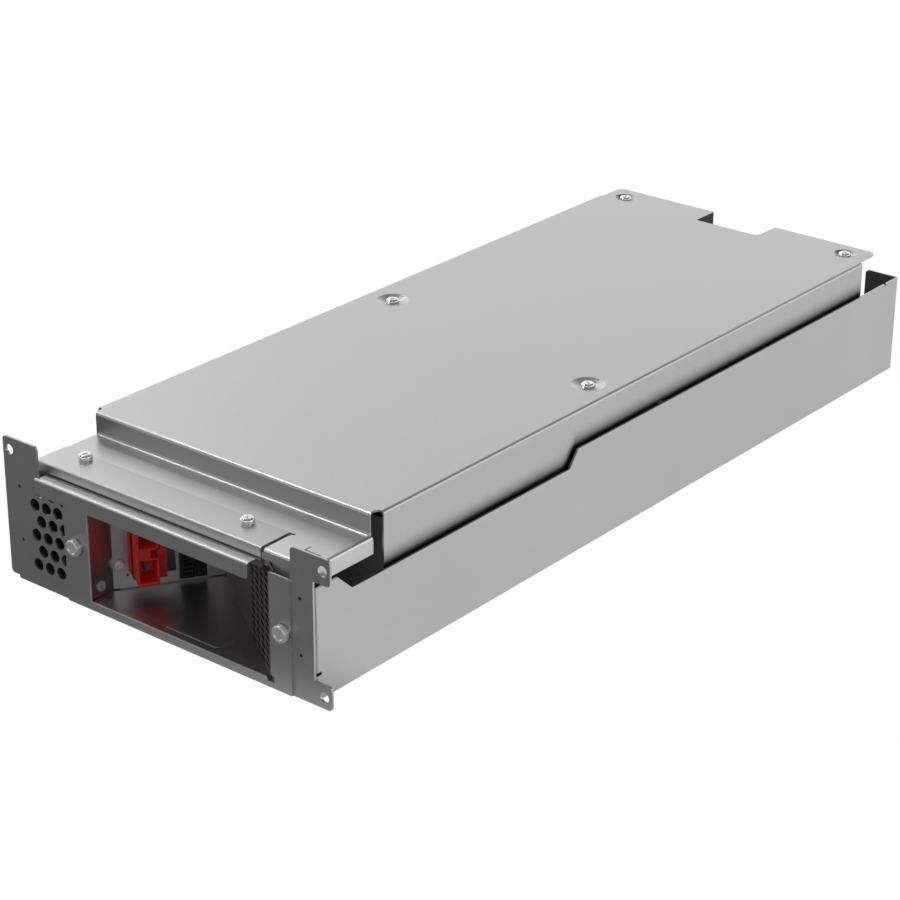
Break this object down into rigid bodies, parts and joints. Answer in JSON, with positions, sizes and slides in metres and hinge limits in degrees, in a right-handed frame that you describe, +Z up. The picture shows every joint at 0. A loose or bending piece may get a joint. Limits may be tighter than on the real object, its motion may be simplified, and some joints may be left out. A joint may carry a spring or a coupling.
{
  "type": "ups battery cartridge",
  "caption": "Slide-in steel battery cartridge for an uninterruptible power supply, with rack ears, a stepped cover and a recessed pocket for its power and signal plugs.",
  "frame": {"origin": "middle of the bounding box's underside, on the underside of the tray", "axes": "+Z up, +Y along the length from the front plate to the rear, +X to the right seen from the front"},
  "size_m": [0.2536, 0.6172, 0.0931],
  "materials": {
    "galvanised_sheet": "satin zinc-coated sheet steel",
    "plated_fastener": "bright zinc plate",
    "battery_case": "moulded black case",
    "black_plastic": "satin moulded plastic",
    "red_plastic": "semi-gloss moulded plastic",
    "red_sleeve": "insulated lead",
    "black_sleeve": "insulated lead",
    "foam": "closed-cell foam",
    "insulation_film": "thin plastic film",
    "ceramic_barrel": "glazed barrel with metal caps",
    "tinned_metal": "tin plate",
    "copper": "bare copper"
  },
  "bodies": {
    "root": {"air_baffle": "galvanised_sheet", "battery_front_left": "battery_case", "battery_front_right": "battery_case", "battery_liner": "insulation_film", "battery_middle_left": "battery_case", "battery_middle_right": "battery_case", "battery_rear_left": "battery_case", "battery_rear_right": "battery_case", "battery_terminals": "tinned_metal", "bracket_screw": "plated_fastener", "connector_bracket": "galvanised_sheet", "cover_nuts": "plated_fastener", "cover_screws": "plated_fastener", "flange_spacers": "plated_fastener", "front_divider": "galvanised_sheet", "front_pad": "foam", "front_panel": "galvanised_sheet", "front_plate": "galvanised_sheet", "front_stiffener": "galvanised_sheet", "fuse": "ceramic_barrel", "fuse_holder": "black_plastic", "hold_down_left": "galvanised_sheet", "hold_down_pad_left": "foam", "hold_down_pad_right": "foam", "hold_down_right": "galvanised_sheet", "ledge_strip": "galvanised_sheet", "panel_screw_nuts": "plated_fastener", "panel_screw_rings": "plated_fastener", "panel_screws": "plated_fastener", "pocket_film": "insulation_film", "pocket_roof": "galvanised_sheet", "power_connector": "red_plastic", "power_contacts": "tinned_metal", "power_lead_negative": "black_sleeve", "power_lead_positive": "red_sleeve", "rear_pad": "foam", "rear_post_left": "galvanised_sheet", "rear_post_right": "galvanised_sheet", "rear_stop": "galvanised_sheet", "rivet_nut": "plated_fastener", "series_links": "copper", "signal_connector_narrow": "black_plastic", "signal_connector_wide": "black_plastic", "signal_contacts": "tinned_metal", "strip_nuts": "plated_fastener", "strip_screws": "plated_fastener", "strip_washers": "plated_fastener", "top_cover": "galvanised_sheet", "tray": "galvanised_sheet"}
  },
  "joints": []
}
